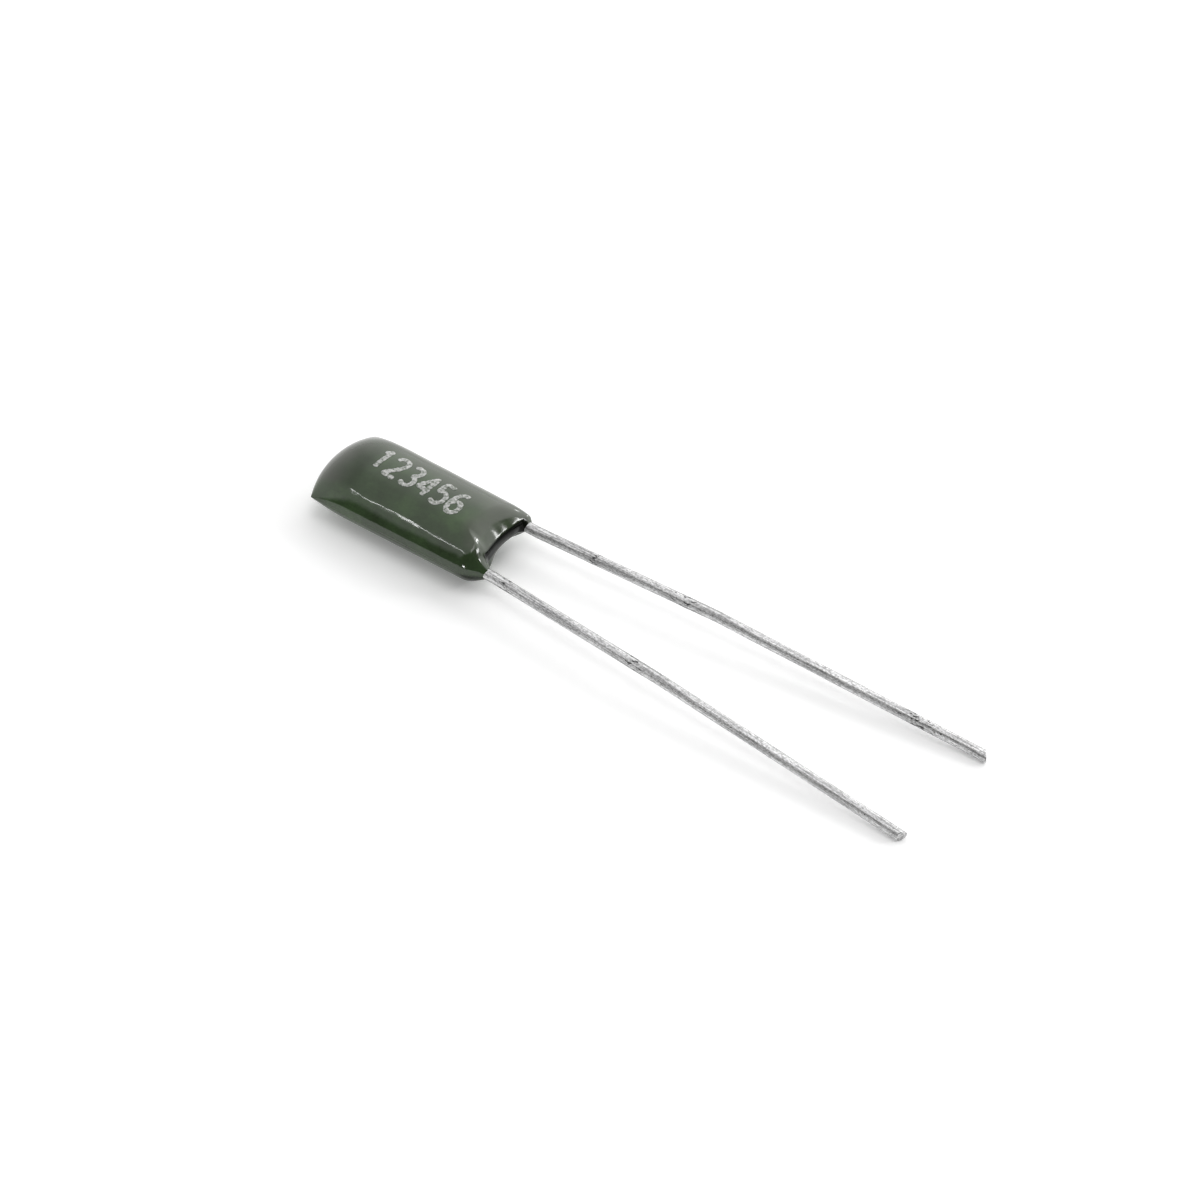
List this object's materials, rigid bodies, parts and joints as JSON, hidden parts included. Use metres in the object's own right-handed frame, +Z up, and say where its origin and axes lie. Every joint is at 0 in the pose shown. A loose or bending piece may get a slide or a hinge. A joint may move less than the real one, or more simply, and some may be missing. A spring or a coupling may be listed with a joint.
{
  "type": "film capacitor",
  "caption": "Dipped polyester film capacitor: a flat green epoxy pillow with a chisel far end, and long tinned wire leads from the shoulders of the arched near end.",
  "frame": {"origin": "on the floor, below the middle of the box around the coat and the leads", "axes": "+X along the body towards the lead tips, +Y towards the longer lead, +Z up out of the broad face"},
  "size_m": [0.0354, 0.0068, 0.0026],
  "materials": {
    "green_epoxy": "gloss",
    "film_and_foil": "satin",
    "tinned_wire": "satin"
  },
  "bodies": {
    "root": {"epoxy_coat": "green_epoxy", "winding": "film_and_foil", "lead_rear": "tinned_wire", "lead_front": "tinned_wire"}
  },
  "joints": []
}
